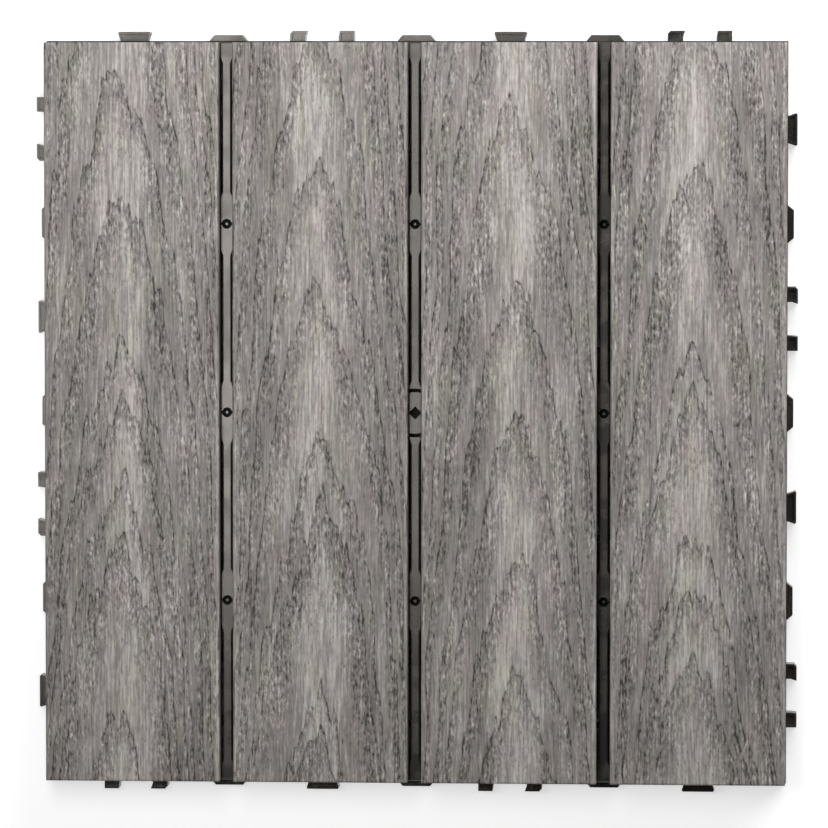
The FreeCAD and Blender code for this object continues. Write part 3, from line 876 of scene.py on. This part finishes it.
def turned(rings, name):
    """A closed round body. Each ring is a height and a list of radii, one for each angle."""
    angles = np.arange(AROUND) * 2 * math.pi / AROUND
    points = []
    for z, radii in rings:
        radii = np.broadcast_to(radii, AROUND)
        points += [(r * math.cos(a), r * math.sin(a), z) for r, a in zip(radii, angles)]
    faces = []
    for row in range(len(rings) - 1):
        for i in range(AROUND):
            j = (i + 1) % AROUND
            a = row * AROUND
            faces.append((a + i, a + j, a + AROUND + j, a + AROUND + i))
    faces.append(tuple(range(AROUND))[::-1])
    last = (len(rings) - 1) * AROUND
    faces.append(tuple(range(last, last + AROUND)))
    mesh = bpy.data.meshes.new(name)
    mesh.from_pydata(points, [], faces)
    return mesh


print("helper:", turned.__name__, "with", AROUND, "corners to a ring")

# %% Shank and head
SHANK_RADIUS = 1.8 * MM
SHANK_LENGTH = 12 * MM
PLAIN_LENGTH = 0.8 * MM      # shank without thread, under the head
POINT_LENGTH = 2.4 * MM
POINT_RADIUS = 0.06          # of the point, over that of the shank
THREAD_PITCH = 1.8 * MM
RINGS_TO_A_TURN = 9
CORE_SHARE = 0.72            # radius of the core over that of the thread
CREST_SHARPNESS = 5
HEAD_RADIUS = 3.8 * MM
HEAD_HEIGHT = 2.6 * MM
RIM_ROUND = 0.5 * MM
RIM_RINGS = 5


def shank_rings():
    rings = []
    angles = np.arange(AROUND) / AROUND
    for z in np.arange(0, SHANK_LENGTH + 1e-9, THREAD_PITCH / RINGS_TO_A_TURN):
        turn = (z / THREAD_PITCH - angles) % 1
        crest = np.clip(1 - np.abs(turn - 0.5) * CREST_SHARPNESS, 0, 1)
        taper = min(1, (SHANK_LENGTH - z) / POINT_LENGTH + POINT_RADIUS)
        plain = z < PLAIN_LENGTH
        share = 1 if plain else CORE_SHARE + (1 - CORE_SHARE) * crest
        rings.append((z, SHANK_RADIUS * taper * share))
    return rings


def head_rings():
    rings = []
    for a in np.linspace(0, math.pi / 2, RIM_RINGS):
        radius = HEAD_RADIUS - RIM_ROUND + RIM_ROUND * math.sin(a)
        rings.append((-HEAD_HEIGHT + RIM_ROUND * (1 - math.cos(a)), radius))
    rings.append((0, HEAD_RADIUS))
    return rings


print("turns of the thread:", round((SHANK_LENGTH - PLAIN_LENGTH) / THREAD_PITCH, 1))

# %% Cross recess
RECESS_REACH = 2.1 * MM
RECESS_HALF = 0.55 * MM
RECESS_DEPTH = 1.5 * MM
CUTTER_SPARE = 1 * MM        # how far the cutter stands out of the head


def cross_cutter():
    """A plus-shaped prism that reaches into the head from below."""
    outline = []
    for quarter in range(4):
        cos, sin = math.cos(quarter * math.pi / 2), math.sin(quarter * math.pi / 2)
        for x, y in ((RECESS_REACH, -RECESS_HALF), (RECESS_REACH, RECESS_HALF),
                     (RECESS_HALF, RECESS_HALF)):
            outline.append((x * cos - y * sin, x * sin + y * cos))
    cutter = bmesh.new()
    low = -HEAD_HEIGHT - CUTTER_SPARE
    face = cutter.faces.new([cutter.verts.new((x, y, low)) for x, y in outline])
    raised = bmesh.ops.extrude_face_region(cutter, geom=[face])["geom"]
    lifted = [item for item in raised if isinstance(item, bmesh.types.BMVert)]
    bmesh.ops.translate(cutter, verts=lifted, vec=(0, 0, RECESS_DEPTH + CUTTER_SPARE))
    bmesh.ops.recalc_face_normals(cutter, faces=cutter.faces)
    mesh = bpy.data.meshes.new("cross_cutter")
    cutter.to_mesh(mesh)
    return mesh


def punched_head():
    """The turned head with the cross recess cut out of it."""
    head = bpy.data.objects.new("screw_head", turned(head_rings(), "screw_head"))
    tool = bpy.data.objects.new("cross_cutter", cross_cutter())
    for item in (head, tool):
        bpy.context.scene.collection.objects.link(item)
    cut = head.modifiers.new("recess", "BOOLEAN")
    cut.object = tool
    cut.operation = "DIFFERENCE"
    cut.solver = "EXACT"
    bpy.context.view_layer.update()
    graph = bpy.context.evaluated_depsgraph_get()
    mesh = bpy.data.meshes.new_from_object(head.evaluated_get(graph))
    for item in (head, tool):
        bpy.data.objects.remove(item)
    return mesh


head_mesh = punched_head()
print("faces of the punched head:", len(head_mesh.polygons))

# %% Eight screws
SCREW_TURN = 0.7             # each screw stops this much farther round than the last, in radians
SMOOTH_BELOW = 35            # degrees between two faces


def screw_places():
    """Middle of each screw: two on each slat, as in the solid model."""
    low, high = (Vector(corner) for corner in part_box("slat_screws"))
    seat = low.z + HEAD_HEIGHT
    places = []
    for node in SLATS:
        first, last = (Vector(corner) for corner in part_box(node))
        for y in (low.y + HEAD_RADIUS, high.y - HEAD_RADIUS):
            places.append(Vector(((first.x + last.x) / 2, y, seat)))
    return places


def build_screws(places):
    """One mesh with a turned copy of the screw at each place."""
    screw = bmesh.new()
    screw.from_mesh(turned(shank_rings(), "screw_shank"))
    screw.from_mesh(head_mesh)
    one = bpy.data.meshes.new("one_screw")
    screw.to_mesh(one)
    every = bmesh.new()
    for number, spot in enumerate(places):
        start = len(every.verts)
        every.from_mesh(one)
        every.verts.ensure_lookup_table()
        moved = Matrix.Translation(spot) @ Matrix.Rotation(number * SCREW_TURN, 4, "Z")
        bmesh.ops.transform(every, matrix=moved, verts=every.verts[start:])
    mesh = bpy.data.meshes.new("deck_screws")
    every.to_mesh(mesh)
    mesh.shade_smooth()
    mesh.set_sharp_from_angle(angle=math.radians(SMOOTH_BELOW))
    screws = bpy.data.objects.new("deck_screws", mesh)
    bpy.context.scene.collection.objects.link(screws)
    return screws


places = screw_places()
screws = build_screws(places)
print("screws:", len(places), "of", len(screws.data.polygons) // len(places), "faces each")

# %% [markdown]
# ## The finish of the screws
#
# Deck screws are stainless steel. Steel has no colour under its gloss: the Metallic input makes the
# base colour the colour of the reflection. One flat value would look like chrome, so fine streaks
# vary both colour and roughness a little, as drawing and tumbling leave them.

# %% Steel
DULL_STEEL = linear(176, 174, 170)
BRIGHT_STEEL = linear(205, 203, 199)
DRAWN_MARKS = (0.15, 0.15, 2.0)
DULL_TO_BRIGHT = (0.35, 0.7)
STEEL_ROUGHNESS = (0.26, 0.42)


def steel_material():
    material, tree, shader = new_material("screw_steel")
    drawn = streak(tree, place(tree), *DRAWN_MARKS)
    feed(tree, shader.inputs["Base Color"],
         mix_colour(tree, ramp(tree, drawn, *DULL_TO_BRIGHT), DULL_STEEL, BRIGHT_STEEL))
    shader.inputs["Metallic"].default_value = 1.0
    feed(tree, shader.inputs["Roughness"], ramp(tree, drawn, *NOISE_SPAN, *STEEL_ROUGHNESS))
    return material


screws.data.materials.append(steel_material())
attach(screws, "root")
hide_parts("slat_screws")
print("material of the screws:", screws.data.materials[0].name)

# %% [markdown]
# ## The floor
#
# The picture is a product picture on white. A floor lit until it is white would need so much light
# that the tile turns pale. So the floor adds some light of its own, but only where the camera or a
# reflection looks at it: it doesn't light the tile more. Near the tile it adds less, so that the
# soft shadow still shows, and farther out it reaches white. Under the tile it adds nothing, and the
# gaps between the slats stay dark.

# %% Floor
FLOOR_SIZE = 12
FLOOR_GREY = linear(214, 214, 214)
FLOOR_ROUGHNESS = 0.9
FLOOR_GLOW = 0.6             # near the tile, where the shadow has to show
GLOW_RISES = (0.3, 0.9)      # it rises to 1 between these distances from the middle
UNDER_EDGE = 8 * MM          # the glow starts this far inside the reach of the connectors


def seen_rays(tree):
    """1 for rays from the camera and for reflections, 0 for rays that gather light."""
    path = tree.nodes.new("ShaderNodeLightPath").outputs
    seen = calc(tree, "MAXIMUM", path["Is Camera Ray"], path["Is Glossy Ray"])
    return calc(tree, "MAXIMUM", seen, path["Is Transmission Ray"])


def floor_material():
    material, tree, shader = new_material("studio_floor")
    shader.inputs["Base Color"].default_value = FLOOR_GREY
    shader.inputs["Roughness"].default_value = FLOOR_ROUGHNESS
    shader.inputs["Specular IOR Level"].default_value = 0.0
    shader.inputs["Emission Color"].default_value = (1, 1, 1, 1)
    reach = reach_of(tree, apart(tree, place(tree)))
    outside = calc(tree, "GREATER_THAN", reach, cad_box[1][0] - UNDER_EDGE)
    strength = ramp(tree, reach, *GLOW_RISES, FLOOR_GLOW, 1.0)
    glow = calc(tree, "MULTIPLY", calc(tree, "MULTIPLY", seen_rays(tree), outside), strength)
    feed(tree, shader.inputs["Emission Strength"], glow)
    return material


bpy.ops.mesh.primitive_plane_add(size=FLOOR_SIZE)
floor = bpy.context.object
floor.name = "studio_floor"
floor.data.materials.append(floor_material())
print("floor:", FLOOR_SIZE, "m wide, glows", FLOOR_GLOW, "near the tile and 1 farther out")

# %% [markdown]
# ## The light
#
# Three soft lamps stand for the softboxes of a studio. A long one hangs over the left half of the
# tile and leans towards its far end. Its reflection puts a grey sheen on the plastic in the first
# two gaps and leaves the third dark. A wide one beyond the far right corner makes the far end of
# the slats a little brighter than the near end. A low one in front lifts the near sides, which the
# other two leave dark, and the camera doesn't see it.
# The world could be one even white, but that would wash the shadows out. So only its walls are
# bright, and they give less light than they show. The ceiling is dim.

# %% World
WALL_TOP = 0.15              # height of a direction, as a sine: 0 is level and 1 is straight up
CEILING_FROM = 0.4
WALL_LIGHT = 0.6             # light from the walls, which show a strength of 1
CEILING = 0.06

world = bpy.data.worlds.new("studio")
bpy.context.scene.world = world
world.use_nodes = True
studio = world.node_tree
sky = studio.nodes["Background"]
sky.inputs["Color"].default_value = (1, 1, 1, 1)
towards = apart(studio, studio.nodes.new("ShaderNodeTexCoord").outputs["Generated"])
walls = calc(studio, "MULTIPLY_ADD", seen_rays(studio), 1 - WALL_LIGHT, WALL_LIGHT)
feed(studio, sky.inputs["Strength"],
     ramp(studio, towards["Z"], WALL_TOP, CEILING_FROM, walls, CEILING))
print("world:", world.name, "with walls of", WALL_LIGHT, "and a ceiling of", CEILING)

# %% Lamps
# Name: place, size, watts, and the point that the lamp looks at.
LAMPS = {
    "key": ((-0.135, 0.22, 0.75), (0.2, 0.82), 4.8, (-0.135, 0.75, 0)),
    "far": ((0.42, 0.62, 0.46), (0.9, 0.3), 7.9, (0.1, 0.05, 0)),
    "near": ((-0.1, -1.1, 0.1), (1.2, 0.16), 1.1, (0, 0, 0.01)),
}


def soft_lamp(name, spot, size, watts, aim):
    """A rectangular lamp at a spot that looks at its aim."""
    lamp = bpy.data.lights.new(name, "AREA")
    lamp.shape = "RECTANGLE"
    lamp.size, lamp.size_y = size
    lamp.energy = watts
    holder = bpy.data.objects.new(name, lamp)
    holder.location = spot
    holder.rotation_euler = (Vector(aim) - Vector(spot)).to_track_quat("-Z", "Y").to_euler()
    bpy.context.scene.collection.objects.link(holder)
    return holder


lamps = {name: soft_lamp(name, *values) for name, values in LAMPS.items()}
lamps["near"].visible_camera = False
print("lamps:", ", ".join(f"{name} {lamp.data.energy:.1f} W" for name, lamp in lamps.items()))

# %% [markdown]
# ## The camera
#
# The tile is seen from high above, so a long lens from far away keeps its sides nearly parallel.
# The camera stands over the far right corner, not over the middle: from there the connectors on the
# near and the left side hide almost wholly under the slats, and those on the other two show. A
# Track To constraint could aim it, but would turn the tile in the picture. So the camera's axes are
# worked out from its sight line, with the slats upright.

# %% Camera
CAMERA_SPOT = Vector((0.16, 0.146, 2.5))
FRAME_WIDTH = 0.328          # how much of the floor the picture shows

camera = bpy.data.cameras.new("camera")
holder = bpy.data.objects.new("camera", camera)
aim = Vector((0, 0, cad_box[1][2]))
sight = aim - CAMERA_SPOT
back = -sight.normalized()
right = Vector((0, 1, 0)).cross(back).normalized()
turn = Matrix((right, back.cross(right), back)).transposed().to_4x4()
holder.matrix_world = Matrix.Translation(CAMERA_SPOT) @ turn
camera.lens = camera.sensor_width * sight.length / FRAME_WIDTH
bpy.context.scene.collection.objects.link(holder)
bpy.context.scene.camera = holder
bpy.context.scene.view_settings.view_transform = "Standard"
print("camera", round(sight.length, 3), "m away, lens", round(camera.lens), "mm")
